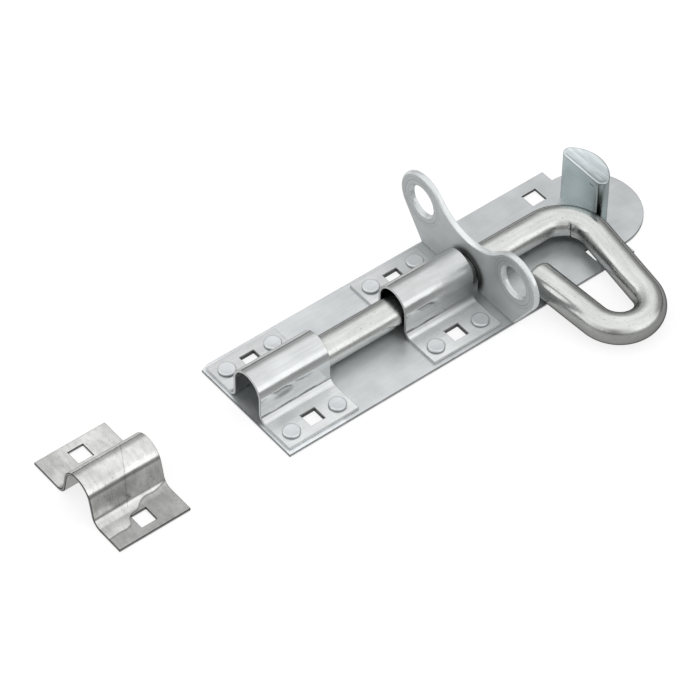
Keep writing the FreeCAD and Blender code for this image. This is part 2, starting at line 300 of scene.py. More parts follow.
def ring_faces(shape, flip=False):
    """Four-sided faces between neighbouring rings of points; each ring closes on itself."""
    at = np.arange(shape[0] * shape[1]).reshape(shape)
    following = np.roll(at, -1, axis=1)
    corners = [at[:-1], at[1:], following[1:], following[:-1]]
    return np.stack([corners[0]] + corners[:0:-1] if flip else corners, -1).reshape(-1, 4)


def turned(profile, x, y, lean, around=40):
    """Radius and height pairs swept round z. lean is a pair: the share of its radius by which one side of
    the head stands up, and the angle at which it does; it grows over the first 1.2 mm of the head."""
    angle = np.linspace(0, 2 * math.pi, around, endpoint=False)
    radius, height = profile[:, 0][:, None], profile[:, 1][:, None]
    px, py = x + radius * np.cos(angle), y + radius * np.sin(angle)
    head = np.clip((height - head_z) / 1.2, 0, 1)
    pz = height + head * lean[0] * radius * np.cos(angle - lean[1])
    return np.stack([px, py, pz], -1).reshape(-1, 3), ring_faces(px.shape, flip=True)


# %% Turn four rivets for each strap
rng = np.random.default_rng(7)
tail_radius, tail_depth, pin_radius, skirt_radius = 3.4, 0.9, 2.5, 4.42
shoulder_in, shoulder_up, rounding = 3.9, 0.82, 0.6
shoulder = np.radians(np.linspace(0, 90, 7))
sunk_face = [(3.3, 1.38), (2.2, 1.32), (1.1, 1.29), (0, 1.28)]
rivet_profile = np.array(
    [(0, 0), (tail_radius, 0), (pin_radius, tail_depth), (pin_radius, head_z), (skirt_radius, head_z)]
    + [(shoulder_in + rounding * math.cos(a), head_z + shoulder_up + rounding * math.sin(a)) for a in shoulder]
    + [(radius, head_z + height) for radius, height in sunk_face])
for name, x in (("front_strap_rivets", front_strap_x), ("rear_strap_rivets", rear_strap_x)):
    parts = [turned(rivet_profile, x + sx * rivet_dx, sy * rivet_y, (rng.uniform(0.004, 0.012), rng.uniform(0, 6)))
             for sx in (-1, 1) for sy in (-1, 1)]
    count = len(parts[0][0])
    points = np.concatenate([p for p, f in parts])
    faces = np.concatenate([f + i * count for i, (p, f) in enumerate(parts)])
    make_piece(name, points, faces, points[:, :2], "base", [name.replace("strap", "guide")])

# %% [markdown]
# ## The bar and its loop
# The bar is 16 mm round stock. Its straight part slides in the straps; the rest is bent cold into a loop that
# serves as the handle. The surface is a circle carried along the line of the bar: at each station there is a
# centre, a direction towards the inside of the bend and an upward one. A cold bend upsets the metal on its
# inner side, so the first bend carries the short crease of the bending block and a slight flat.

# %% Lay out the line of the bar
nose_rounding, tail_rounding = 2.5, 3.0


def bar_line():
    """Stations along two turns with straight runs after them; returns places, headings and lengths."""
    heading, place, run = [np.zeros(1)], [np.array([[bend_x, 0.0]])], [np.zeros(1)]
    for radius, turn, straight in ((bend_radius, bend_turn, leg_length), (return_radius, return_turn, tail_length)):
        start, here, gone = heading[-1][-1], place[-1][-1], run[-1][-1]
        angle = np.linspace(0, turn, math.ceil(math.degrees(turn) / 1.5))[1:]
        h = start + angle
        arc = here + radius * np.stack([np.sin(h) - math.sin(start), np.cos(h) - math.cos(start)], -1)
        end_starts = [straight - tail_rounding] if straight == tail_length else []
        steps = lines(0, straight, *end_starts, step=1.5)[1:]
        go = arc[-1] + steps[:, None] * [math.cos(h[-1]), -math.sin(h[-1])]
        heading += [h, np.full(len(steps), h[-1])]
        place += [arc, go]
        run += [gone + radius * angle, gone + radius * turn + steps]
    return np.concatenate(place), np.concatenate(heading), np.concatenate(run)


def rounded_end(distance, rounding):
    """Radius of the bar at a distance from its end, with the rim rounded over."""
    short = np.clip(rounding - distance, 0, rounding)
    return bar_radius - rounding + np.sqrt(np.maximum(rounding ** 2 - short ** 2, 0))


def round_bar(centre, inward, radius, press, run, around=72):
    """Circle of the given radius at each station; press(run, angle) sinks the surface."""
    angle = np.linspace(0, 2 * math.pi, around, endpoint=False)
    r = radius[:, None] - press(run[:, None], angle[None]) * (radius[:, None] / bar_radius)
    flat = centre[:, None] + (r * np.cos(angle))[..., None] * inward[:, None]
    height = bar_z + r * np.sin(angle)
    points = np.concatenate([flat, height[..., None]], -1)
    lay = np.stack(np.broadcast_arrays(run[:, None], angle[None] * bar_radius), -1)
    return points.reshape(-1, 3), ring_faces(height.shape), lay.reshape(-1, 2)


print("line of the loop is", round(float(bar_line()[2][-1]), 1), "mm long")

# %% [markdown]
# The straight part lies on x, its inward side is -y like the loop's, and both ends are closed by rings that
# shrink to a point. Where the two parts meet they are flat discs face to face, because the loop turns there.

# %% Straight part with its rounded nose
def no_press(run, angle):
    return 0.0 * run * angle


tip = np.array([0.0, 0.08, 0.3, 0.7, 1.2, 1.8, nose_rounding])
x_stations = np.concatenate([nose_x + tip, lines(nose_x + nose_rounding, bend_x, step=2.0)[1:]])
centre = np.stack([x_stations, x_stations * 0], -1)
radius = rounded_end(x_stations - nose_x, nose_rounding)
centre = np.concatenate([centre[[0, 0]], centre, centre[[-1]]])
radius = np.concatenate([[0, 3.0], radius, [0]])
inward = np.tile([0.0, -1.0], (len(radius), 1))
points, faces, lay = round_bar(centre, inward, radius, no_press, centre[:, 0] - bend_x)
shank = make_piece("bar_shank", points, faces, lay, "shank", ["bolt_shank"], smooth=50)

# %% [markdown]
# A bar this thick wrinkles where it is squeezed. The marks are depths, taken off the radius on the inner side of
# the bends only, and each one fades like a bell curve with the distance from its middle.

# %% The marks of bending
def bend_press(run, angle):
    """Depth of the bend's marks on the inner side, where cos(angle) is 1: a crease in the first bend, with a
    slope that leads down to it and a steep far wall, a slight flat, and fine wrinkles in the second bend."""
    crease_depth, slope, far_wall, flat_depth, flat_reach = 0.6, 3.2, 0.5, 0.2, 8.0
    ripple_depth, ripple_pace, ripple_reach = 0.07, 1.7, 16.0
    inner = np.clip(np.cos(angle), 0, 1)
    middle = bend_radius * bend_turn * 0.47 + 2.8
    off = run - middle + 1.3 * np.sin(angle)
    crease = crease_depth * np.exp(-(off / np.where(off < 0, slope, far_wall)) ** 2) * inner ** 0.6
    flat = flat_depth * np.exp(-(off / flat_reach) ** 2) * inner ** 2
    second = bend_radius * bend_turn + leg_length + return_radius * return_turn / 2
    ripple = ripple_depth * (1 + np.sin(run * ripple_pace)) * np.exp(-((run - second) / ripple_reach) ** 2)
    return crease + flat + ripple * inner ** 3


# %% Bent part with its rounded tail
centre, heading, run = bar_line()
inward = np.stack([-np.sin(heading), -np.cos(heading)], -1)
end_run = run[-1]
before_end = np.array([2.4, 1.8, 1.1, 0.6, 0.25, 0.06, 0, 0, 0])
tail_way = np.array([math.cos(heading[-1]), -math.sin(heading[-1])])
tail_end = centre[-1]
keep = run < end_run - 2.9
run = np.concatenate([run[keep], end_run - before_end])
centre = np.concatenate([centre[keep], tail_end + (run[-len(before_end):] - end_run)[:, None] * tail_way])
inward = np.concatenate([inward[keep], np.tile(inward[-1], (len(before_end), 1))])
radius = rounded_end(end_run - run, tail_rounding)
radius[-2:] = 2.5, 0
centre, inward, run = (np.concatenate([v[:1], v]) for v in (centre, inward, run))
radius = np.concatenate([[0], radius])
points, faces, lay = round_bar(centre, inward, radius, bend_press, run)
droop = math.radians(2.0)
arm = points[:, 1:] - [0, bar_z]
turn = np.array([[math.cos(droop), math.sin(droop)], [-math.sin(droop), math.cos(droop)]])
points[:, 1:] = arm @ turn + [0, bar_z]
loop = make_piece("bar_loop", points, faces, lay, "loop", ["bolt_loop"], smooth=50)

# %% [markdown]
# ## The stop
# The stop is a strip rolled round into the shape of a D, with its two ends almost meeting at the near front
# corner, and a lid pressed on top. The outline is worked out from a straight front, two small corner arcs and
# one large arc. Carried upwards it gives the wall, and shrunk in rings it gives the lid, which is dished.

# %% The D outline
stop_depth, stop_radius, stop_corner, stop_y, stop_rise, stop_sheet = 13.0, 19.05, 3.8, 2.4, 30.9, 1.4
seam_foot, seam_opens, heights = 1.7, 1.2, 9


def stop_outline(inset, seam):
    """Open D: a flat front, a corner arc, the large back arc, and a corner arc that ends seam mm behind
    the front face. Returns places and outward angles."""
    centre_x = stop_face_x + stop_depth - stop_radius
    corner_x = stop_face_x + stop_corner
    reach_x = corner_x - centre_x
    reach_y = math.sqrt((stop_radius - stop_corner) ** 2 - reach_x ** 2)
    swing = math.atan2(reach_y, reach_x)
    last_turn = -math.acos((seam - stop_corner) / stop_corner)
    start = np.linspace(-math.pi + 0.16, -math.pi, 4)[:-1]
    front = np.full(16, math.pi)
    first = np.linspace(math.pi, swing, 12)[1:]
    back = np.linspace(swing, -swing, 40)[1:]
    last = np.linspace(-swing, last_turn, 24)[1:]
    runs = [start, front, first, back, last]
    counts = [len(run) for run in runs]
    angle = np.concatenate(runs)
    cx = np.repeat([corner_x, corner_x, corner_x, centre_x, corner_x], counts)
    cy = np.repeat([-reach_y, 0.0, reach_y, 0.0, -reach_y], counts)
    cy[len(start):len(start) + len(front)] = np.linspace(-reach_y, reach_y, len(front))
    size = np.repeat([stop_corner, stop_corner, stop_corner, stop_radius, stop_corner], counts) - inset
    return np.stack([cx + size * np.cos(angle), stop_y + cy + size * np.sin(angle)], -1), angle


# %% [markdown]
# The rolled strip is a closed sheet like the plate, only its grid goes round the D. Behind the open seam the
# other end of the strip lies a little deeper, and a narrow tongue of sheet stands in for it.

# %% The rolled wall and the lap behind its seam
def rolled_wall():
    """The outline and its inner twin at several heights; the seam opens wider towards the top. The wall ends
    a hair under the lid, so that each stays a closed shell."""
    lid_gap = 0.01
    levels = np.linspace(0, 1, heights)
    low, high = plate_thick, plate_thick + stop_rise - stop_sheet - lid_gap
    outer = np.stack([stop_outline(0.0, seam_foot + seam_opens * level)[0] for level in levels])
    inner = np.stack([stop_outline(stop_sheet, seam_foot + seam_opens * level)[0] for level in levels])
    z = np.broadcast_to((low + (high - low) * levels)[:, None, None], outer.shape[:2] + (1,))
    top, under = np.concatenate([outer, z], -1)[:, ::-1], np.concatenate([inner, z], -1)[:, ::-1]
    return close_sheet(top[::-1], under[::-1], np.ones((heights - 1, outer.shape[1] - 1), bool))


def seam_tongue():
    """The inner lap of the rolled strip, seen through the open seam: from 4.6 mm behind the face it leads
    along y to 1.6 mm behind the face at the top and 5.8 mm at the foot."""
    levels, share = np.linspace(0, 1, heights)[:, None], np.linspace(0, 1, 7)[None]
    start_x, start_y, reach_y, top_depth, foot_extra = 4.6, -12.1, 4.4, 1.6, 4.2
    depth = top_depth + foot_extra * (1 - levels) ** 2.5
    x = stop_face_x + start_x + (depth - start_x) * share
    y = start_y + reach_y * share + 0.0 * levels
    z = plate_thick + (stop_rise - stop_sheet) * levels + 0.0 * share
    top = np.stack([x, y, z], -1)
    under = top + [0.5, 0.35, 0]
    return close_sheet(top[:, ::-1], under[:, ::-1], np.ones((heights - 1, share.size - 1), bool))


# %% [markdown]
# The lid is made of rings inside each other. The first ones climb the rim and roll over it, and the rest shrink
# towards a middle that lies a little lower, as a press leaves it.

# %% The lid, and the whole stop
def pressed_lid():
    """Rings of the closed outline: up the rim, over its rounding, then in to the middle with a shallow dish.
    The first points of the outline, which only lead up to the seam, are left out."""
    lead, closed_seam, roll_radius, rim_low, dish = 4, 0.02, 0.7, -0.16, 0.14
    outline, angle = (part[lead:] for part in stop_outline(0.0, closed_seam))
    middle = np.array([stop_face_x + 5.5, stop_y])
    roll = np.radians(np.linspace(0, 90, 7))
    shrink = [(0.0, -stop_sheet)]
    shrink += [(roll_radius * (1 - math.cos(a)), -roll_radius + roll_radius * math.sin(a)) for a in roll]
    shrink += [(1.1, -0.03), (1.6, rim_low)]
    normal = np.stack([np.cos(angle), np.sin(angle)], -1)

    def ring(flat, height):
        return np.concatenate([flat, np.full((len(flat), 1), height)], -1)

    rings = [ring(outline - inset * normal, height) for inset, height in shrink]
    rim, foot = rings[-1][:, :2], rings[0][:, :2]
    rings += [ring(middle + (rim - middle) * share, rim_low - dish * (1 - share ** 2))
              for share in (0.85, 0.65, 0.4, 0.2, 0.0)]
    under = [ring(middle + (foot - middle) * share, -stop_sheet) for share in (0.0, 0.5)]
    stack = np.stack(under + rings)
    stack[..., 2] += plate_thick + stop_rise
    return stack.reshape(-1, 3), ring_faces(stack.shape[:2])


wall_points, wall_faces, wall_cut = rolled_wall()
lap_points, lap_faces, lap_cut = seam_tongue()
lid_points, lid_faces = pressed_lid()
points = np.concatenate([wall_points, lap_points, lid_points])
faces = np.concatenate([wall_faces, lap_faces + len(wall_points), lid_faces + len(wall_points) + len(lap_points)])
cut = np.concatenate([wall_cut, lap_cut, np.full(len(lid_faces), 2)])
lay = np.stack([points[:, 1] + points[:, 0], points[:, 2]], -1)
stop = make_piece("rolled_stop", points, faces, lay, "base", ["back_stop"], cut, smooth=35)

# %% [markdown]
# ## Bright zinc
# Zinc plating is a thin bright metal skin. It mirrors its surroundings softly, because rolling lines, pickling
# and handling have roughened it unevenly. The finish is therefore a metal whose colour hardly varies, while
# its roughness and its relief vary a lot: wide clouds, fine lines along the rolling direction, and small dull
# spots. One recipe serves all pieces, with other amounts for each.

# %% A short way to write shader nodes
def new_finish(name):
    finish = bpy.data.materials.new(name)
    finish.use_nodes = True
    finish.node_tree.nodes.clear()
    return finish, finish.node_tree


def node(tree, kind, sockets=None, **settings):
    """Adds a node; a socket is given a number, a colour or the output of another node."""
    made = tree.nodes.new(kind)
    for key, value in settings.items():
        setattr(made, key, value)
    for key, value in (sockets or {}).items():
        if isinstance(value, bpy.types.NodeSocket):
            tree.links.new(value, made.inputs[key])
        else:
            made.inputs[key].default_value = value
    return made


def noise(tree, place, scale, detail=3.0, rough=0.55, stretch=(1, 1, 1), shift=(0, 0, 0), distort=0.0):
    moved = node(tree, "ShaderNodeMapping", {"Vector": place, "Scale": stretch, "Location": shift})
    return node(tree, "ShaderNodeTexNoise", {"Vector": moved.outputs[0], "Scale": scale, "Detail": detail,
                                             "Roughness": rough, "Distortion": distort}).outputs["Fac"]


def ramp(tree, value, low, high, at=(0.35, 0.65), kind="LINEAR"):
    """Spreads the middle of a value over the range from low to high."""
    return node(tree, "ShaderNodeMapRange", {"Value": value, "From Min": at[0], "From Max": at[1],
                                             "To Min": low, "To Max": high}, interpolation_type=kind).outputs[0]


def soft_ramp(tree, value, low, high, at):
    return ramp(tree, value, low, high, at, "SMOOTHSTEP")


def maths(tree, kind, first, second=0.0):
    return node(tree, "ShaderNodeMath", {0: first, 1: second}, operation=kind).outputs[0]


def look_up(tree, value, rows, smooth="EASE"):
    """Reads a level between 0 and 1 for a value out of rows of (value, level)."""
    low, high = rows[0][0], rows[-1][0]
    scale = node(tree, "ShaderNodeValToRGB", {0: ramp(tree, value, 0.0, 1.0, (low, high))})
    scale.color_ramp.interpolation = smooth
    stops = scale.color_ramp.elements
    for at, level in rows:
        stop = stops[0] if at == low else stops[-1] if at == high else stops.new((at - low) / (high - low))
        stop.color = (level, level, level, 1)
    return scale.outputs[0]


def apart(tree, value, at):
    """How far a value lies from a place."""
    return maths(tree, "ABSOLUTE", maths(tree, "SUBTRACT", value, at))


def thin_line(tree, value, at, width, depth):
    """1 everywhere, and 1 - depth where the value comes within the width of a place."""
    return ramp(tree, apart(tree, value, at), 1 - depth, 1.0, (width * 0.4, width))


def lowered(tree, amount, by):
    """1 less a share of the amount."""
    return maths(tree, "SUBTRACT", 1.0, maths(tree, "MULTIPLY", amount, by))


def hypotenuse(tree, one, other):
    squares = [maths(tree, "MULTIPLY", side, side) for side in (one, other)]
    return maths(tree, "SQRT", maths(tree, "ADD", *squares))


def all_of(tree, *tones):
    result = tones[0]
    for tone in tones[1:]:
        result = maths(tree, "MULTIPLY", result, tone)
    return result


# %% [markdown]
# The recipe takes four noise patterns on the flat sheet: clouds, blotches, rolling lines and specks. They change the
# tone a little and the roughness and the relief more. The tone also falls where the metal turns away from the eye, a
# painted shade that darkens the outlines.

# %% The zinc recipe
def zinc(name, tint, rough, clouds=0.05, streaks=0.10, wave=1.0, ripple=0.3, spots=0.3, on="UV",
         stretch=(1, 14, 14), metal=1.0, shade=0.5, rim=1.0, marks=None):
    """tint is the metal's colour; rough its mean roughness. stretch squeezes the streaks across the
    rolling direction, which is the first axis of the piece's lay. wave and ripple are heights of relief.
    shade is how much the tone falls where the surface turns away, a painted shade along the outlines, and rim is the
    tint of the mirror at the very edge, where bare metal would turn white. marks takes x, y, z in millimetres and
    gives a tone, much of it painted light and shade, and some more roughness for each place on the piece."""
    finish, tree = new_finish(name)
    source = node(tree, "ShaderNodeTexCoord")
    place = source.outputs[on]
    cloud = noise(tree, place, 48, 3, 0.55)
    blotch = noise(tree, place, 130, 3, 0.6, shift=(0.31, 0.12, 0.05), distort=0.5)
    line = noise(tree, place, 42, 4, 0.6, stretch=stretch)
    speck = ramp(tree, noise(tree, place, 800, 2, 0.5, shift=(0.07, 0.4, 0.2)), 0, 1, (0.62, 0.74))
    tone = ramp(tree, cloud, 1 - 1.5 * clouds, 1 + clouds)
    # Painted shade: the tone is darker where the surface turns away from the eye.
    away = node(tree, "ShaderNodeLayerWeight", {"Blend": 0.5}).outputs["Facing"]
    tone = all_of(tree, tone, ramp(tree, line, 1.0, 1 - 0.4 * streaks), lowered(tree, speck, 0.16 * spots),
                  soft_ramp(tree, away, 1.0, 1 - 0.75 * shade, (0.58, 0.95)))
    dull = maths(tree, "ADD", ramp(tree, blotch, rough - 0.04, rough + 0.05), ramp(tree, line, -0.02, 0.03))
    dull = maths(tree, "ADD", dull, maths(tree, "MULTIPLY", speck, 0.12 * spots))
    if marks:
        size = node(tree, "ShaderNodeVectorMath", {0: source.outputs["Object"], 1: (1000, 1000, 1000)},
                    operation="MULTIPLY")
        x, y, z = node(tree, "ShaderNodeSeparateXYZ", {0: size.outputs[0]}).outputs
        local, coarse = marks(tree, x, y, z)
        tone, dull = maths(tree, "MULTIPLY", tone, local), maths(tree, "ADD", dull, coarse)
    colour = node(tree, "ShaderNodeVectorMath", {0: tint, 3: tone}, operation="SCALE").outputs[0]
    relief = maths(tree, "ADD", maths(tree, "MULTIPLY", line, ripple), maths(tree, "MULTIPLY", cloud, 9.0 * wave))
    relief = maths(tree, "ADD", relief, maths(tree, "MULTIPLY", blotch, 1.2 * wave))
    bump = node(tree, "ShaderNodeBump", {"Height": relief, "Strength": 1.0, "Distance": 0.00003})
    skin = node(tree, "ShaderNodeBsdfPrincipled", {"Base Color": colour, "Roughness": dull,
                                                   "Metallic": metal, "Normal": bump.outputs[0],
                                                   "Specular Tint": (rim, rim, rim, 1)})
    node(tree, "ShaderNodeOutputMaterial", {"Surface": skin.outputs[0]})
    print("finish", name, "tint", tint, "roughness", rough)
    return finish


def dress(piece, *finishes):
    """The first finish covers the skin, the second the sheared edges, the third the broken corners or a lid."""
    while len(piece.data.materials) < len(finishes):
        piece.data.materials.append(None)
    for slot, finish in enumerate(finishes):
        piece.material_slots[slot].link = "DATA"
        piece.data.materials[slot] = finish
    print(piece.name, "wears", ", ".join(finish.name for finish in finishes))


# %% [markdown]
# ## Marks and painted light that belong to a place
# Some marks sit at one place of one piece: a flange that the press has dulled, a smudge on a wall. Much of the tone
# here is painted light and shade: darker walls, dark lines and bright rims on edges, a painted shadow round the
# passage of the bar. Each is a small rule in millimetres on the piece itself, so it stays there from any side. A rule
# returns a tone, and how much rougher the place is.

# %% Painted shade and marks of the straps, and painted shade in the square holes
def strap_painted_shade_and_marks(tree, x, y, z):
    """Painted light and shade by height: dull flanges painted pale and walls painted darker, on the rear strap more
    so. The tone is darker towards the far side. A smudge on the near wall of the front strap and a frosted end of the
    rear one."""
    # Painted shade: the tone by height darkens the walls, and the rear strap's walls more.
    tone = look_up(tree, z, [(0, 1.0), (3.3, 1.0), (4.4, 0.70), (6.0, 0.74), (13, 0.78), (17, 0.86), (30, 0.86)])
    fall = look_up(tree, z, [(0, 0.0), (3.3, 0.0), (4.4, 0.22), (13, 0.22), (17, 0.06), (30, 0.06)])
    rear = lowered(tree, fall, ramp(tree, x, 0.0, 1.0, (-50, -40)))
    across = look_up(tree, y, [(-36, 1.0), (-15, 0.98), (15, 0.95), (22, 0.86), (36, 0.84)])
    smudge_x, smudge_z, half_long, half_high = -92.0, 12.9, 5.5, 2.3
    far_x = maths(tree, "DIVIDE", maths(tree, "SUBTRACT", x, smudge_x), half_long)
    far_z = maths(tree, "DIVIDE", maths(tree, "SUBTRACT", z, smudge_z), half_high)
    smudge = ramp(tree, hypotenuse(tree, far_x, far_z), 0.52, 1.0, (0.45, 1.2))
    near = ramp(tree, y, 0.0, 1.0, (-3.0, 0.0))
    coarse = maths(tree, "ADD", ramp(tree, z, 0.17, 0.0, (3.2, 5.0)), ramp(tree, x, 0.0, 0.20, (-2.0, 12.0)))
    return all_of(tree, tone, rear, across, maths(tree, "MAXIMUM", smudge, near)), coarse


def hole_wall_painted_shade(tree, x, y, z):
    """The walls of the square holes are darker than the outer edges: painted shade inside the holes."""
    front, rear, end = (apart(tree, x, middle) for middle in (front_strap_x, rear_strap_x, end_hole_x))
    beside = ramp(tree, maths(tree, "MINIMUM", maths(tree, "MINIMUM", front, rear), end), 0.0, 1.0, (4.6, 4.9))
    edge = ramp(tree, apart(tree, y, 0.0), 0.0, 1.0, (30.9, 31.3))
    return ramp(tree, maths(tree, "MAXIMUM", beside, edge), 0.28, 1.0, (0.0, 1.0)), 0.0


# %% Painted light and shade, and marks, of the eared wall, the rivets, the plate and the stop
def bracket_painted_light(tree, x, y, z):
    """Painted light and shade: edges that roll over from a dark line into a bright rim, and a painted shadow round
    the passage of the bar. Also dark rings round the holes, and a darker near side."""
    normal = node(tree, "ShaderNodeNewGeometry").outputs["Normal"]
    facing = node(tree, "ShaderNodeSeparateXYZ", {0: normal}).outputs[0]
    # Painted outline and highlight: by the normal, each edge gets a dark line and then a bright rim.
    roll = look_up(tree, facing, [(-1.0, 0.74), (-0.985, 0.74), (-0.96, 0.42), (-0.91, 1.0), (0.88, 1.0), (0.97, 0.6),
                                  (1.0, 0.74)])
    coarse = look_up(tree, facing, [(-1.0, 0.2), (-0.97, 0.2), (-0.9, 0.0), (0.9, 0.0), (0.97, 0.2), (1.0, 0.2)])
    middle_y, ear_y, ear_z = 0.9, 34.8, 28.8
    side = maths(tree, "SUBTRACT", apart(tree, y, middle_y), ear_y)
    away = hypotenuse(tree, side, maths(tree, "SUBTRACT", z, ear_z))
    ear = maths(tree, "MULTIPLY", thin_line(tree, away, 12.1, 0.35, 0.3), thin_line(tree, away, 13.6, 0.3, 0.2))
    across = look_up(tree, y, [(-52, 0.86), (-38, 0.78), (-22, 0.70), (-12, 0.92), (0, 1.0), (20, 0.92), (40, 0.82)])
    # Painted shadow round the passage of the bar, on the wall next to the strap's end.
    from_bar = hypotenuse(tree, y, maths(tree, "SUBTRACT", z, bar_z))
    mouth = look_up(tree, from_bar, [(0, 0.1), (10.5, 0.1), (14.3, 1.0), (90, 1.0)])
    return all_of(tree, roll, ear, across, mouth), coarse


def rivet_painted_contact_shade(tree, x, y, z):
    """The skirt of the head is dark where it meets the sheet, a painted contact shadow, and the tail is a little
    duller than the head.
    """
    return look_up(tree, z, [(-1.0, 0.9), (2.8, 0.9), (3.0, 0.3), (3.4, 0.3), (3.75, 1.0), (6.0, 1.0)]), 0.0


def plate_painted_light(tree, x, y, z):
    """Painted light and shade: the plate is brighter towards the front end, most of all on the border along the front
    strap, and darker towards the back.
    """
    tone = look_up(tree, x, [(-110, 0.85), (-76, 0.83), (-60, 0.76), (-20, 0.74), (60, 0.665), (140, 0.65)])
    border = maths(tree, "MULTIPLY", ramp(tree, x, 1.0, 0.0, (-74, -66)), ramp(tree, y, 1.0, 0.0, (-32.0, -31.0)))
    return maths(tree, "MAXIMUM", tone, border), 0.0


def stop_painted_shade_and_scar(tree, x, y, z):
    """Painted shade: darker towards its foot and its near side, and a dark line under the rim of the lid as a painted
    outline. One small scar.
    """
    tone = all_of(tree, look_up(tree, z, [(1, 0.88), (16, 0.96), (31.3, 1.0), (31.7, 0.5), (32.1, 1.0), (33, 1.0)]),
                  look_up(tree, y, [(-12, 0.80), (-5, 0.90), (4, 1.0), (20, 1.0)]))
    beside = ramp(tree, apart(tree, y, -6.2), 0.0, 1.0, (0.8, 1.6))
    scar = maths(tree, "MAXIMUM", thin_line(tree, z, 28.0, 0.8, 0.5), beside)
    return maths(tree, "MULTIPLY", tone, scar), 0.0


# %% Painted shade and marks of the staple
def staple_painted_shade_and_marks(tree, x, y, z):
    """A dull patch on the near flange with a crooked border, painted shade on the walls, a dark line across the near
    side of the crown, a dark line along a fine crease at mid length, and a darker outer corner of the far flange.
    """
    # Painted shade: the tone by height darkens the walls.
    tone = look_up(tree, z, [(0, 0.88), (2.4, 0.88), (4.2, 0.74), (13, 0.74), (17, 0.90), (30, 0.90)])
    heel = maths(tree, "MAXIMUM", thin_line(tree, z, 17.2, 1.3, 0.45), ramp(tree, y, 0.0, 1.0, (-4.0, 0.0)))
    border = look_up(tree, x, [(-205, 0.29), (-198, 0.31), (-193, 0.31), (-190.5, 0.38), (-189.5, 0.50), (-187, 0.60),
                               (-183, 0.63), (-180.5, 0.73), (-177, 0.80), (-170, 0.80), (-163, 0.86)], "CARDINAL")
    off = maths(tree, "SUBTRACT", y, maths(tree, "SUBTRACT", maths(tree, "MULTIPLY", border, 20.0), 30.0))
    low = ramp(tree, z, 1.0, 0.0, (2.0, 4.5))
    patch = maths(tree, "MULTIPLY", ramp(tree, off, 1.0, 0.0, (-0.4, 0.4)), low)
    near = ramp(tree, y, 0.0, 1.0, (-1.0, 0.0))
    edge = maths(tree, "MAXIMUM", thin_line(tree, off, 0.0, 0.5, 0.5), near)
    crease = thin_line(tree, maths(tree, "SUBTRACT", x, maths(tree, "MULTIPLY", y, 0.55)), -178.5, 0.45, 0.25)
    crease = maths(tree, "MAXIMUM", crease, low)
    corner = maths(tree, "ADD", maths(tree, "MULTIPLY", x, 0.79), maths(tree, "MULTIPLY", y, -0.61))
    pale = maths(tree, "MAXIMUM", look_up(tree, corner, [(-186, 0.84), (-175, 0.84), (-172, 0.97), (-140, 0.97)]),
                 ramp(tree, y, 1.0, 0.0, (5.0, 12.0)))
    dark = lowered(tree, patch, 0.36)
    coarse = maths(tree, "ADD", maths(tree, "MULTIPLY", patch, 0.12), ramp(tree, z, 0.08, 0.0, (2.0, 4.0)))
    return all_of(tree, tone, heel, dark, edge, crease, pale), coarse


# %% [markdown]
# Every piece gets its own mix. The cut edges are duller and darker than the skin. The walls of the square holes carry
# painted shade, and the broken corners carry painted dark outlines. The bar is the most worn, with long drawing lines
# and many specks.

# %% Mix every finish
# Sheared edges: painted shade darkens the walls of the square holes.
sheared = zinc("sheared_edge", (0.64, 0.65, 0.655), 0.42, clouds=0.10, wave=0.0, on="Object",
               stretch=(6, 6, 1), metal=0.45, shade=0.0, marks=hole_wall_painted_shade)
# Broken corners: a near-black finish that paints a dark outline along each edge, painted shade.
corner = zinc("painted_edge_outline", (0.03, 0.035, 0.035), 0.5, wave=0.0, on="Object", shade=0.0)
plate_cut = zinc("plate_cut", (0.47, 0.48, 0.485), 0.42, clouds=0.10, wave=0.0, on="Object",
                 stretch=(6, 6, 1), metal=0.45, shade=0.0, marks=hole_wall_painted_shade)
dark_cut = zinc("dark_cut", (0.38, 0.39, 0.385), 0.45, clouds=0.10, wave=0.0, on="Object", shade=0.0)
stop_cut = zinc("stop_cut", (0.66, 0.71, 0.70), 0.40, clouds=0.08, wave=0.0, on="Object", metal=0.4, shade=0.0)
# A grey, softer version of the painted edge outline, used on the straps.
soft_painted_outline = zinc("soft_painted_outline", (0.50, 0.51, 0.51), 0.45, wave=0.0, on="Object", shade=0.0)
plate_skin = zinc("plate_skin", (0.92, 0.955, 0.97), 0.38, metal=0.85, shade=0.0, marks=plate_painted_light)
strap_skin = zinc("strap_skin", (0.80, 0.82, 0.82), 0.14, streaks=0.2, marks=strap_painted_shade_and_marks)
rivet_skin = zinc("rivet_skin", (0.70, 0.72, 0.735), 0.34, wave=1.5, marks=rivet_painted_contact_shade)
wall_skin = zinc("wall_skin", (0.89, 0.93, 0.935), 0.24, on="Object", stretch=(14, 1, 14), metal=0.45,
                 marks=bracket_painted_light)
stop_skin = zinc("stop_skin", (0.575, 0.66, 0.67), 0.32, marks=stop_painted_shade_and_scar)
lid_skin = zinc("lid_skin", (0.71, 0.77, 0.79), 0.24, streaks=0.6, on="Object", stretch=(14, 1, 14),
                marks=stop_painted_shade_and_scar)
bar_skin = zinc("bar_skin", (0.675, 0.685, 0.670), 0.20, streaks=0.35, wave=0.8, ripple=0.6, spots=2.0,
                stretch=(1, 12, 12), shade=0.8, rim=0.4)
staple_skin = zinc("staple_skin", (0.83, 0.835, 0.815), 0.20, clouds=0.10, spots=1.5, streaks=0.5, ripple=0.8,
                   stretch=(9, 3, 3), marks=staple_painted_shade_and_marks)

# %% Put the finishes on
for key in ("front_strap", "rear_strap"):
    dress(bpy.data.objects[key], strap_skin, sheared, soft_painted_outline)
    dress(bpy.data.objects[key + "_rivets"], rivet_skin)
dress(plate, plate_skin, plate_cut, corner)
dress(staple, staple_skin, dark_cut, corner)
dress(stop, stop_skin, stop_cut, lid_skin)
dress(shank, bar_skin)
dress(loop, bar_skin)
dress(nodes["locking_bracket"], wall_skin)

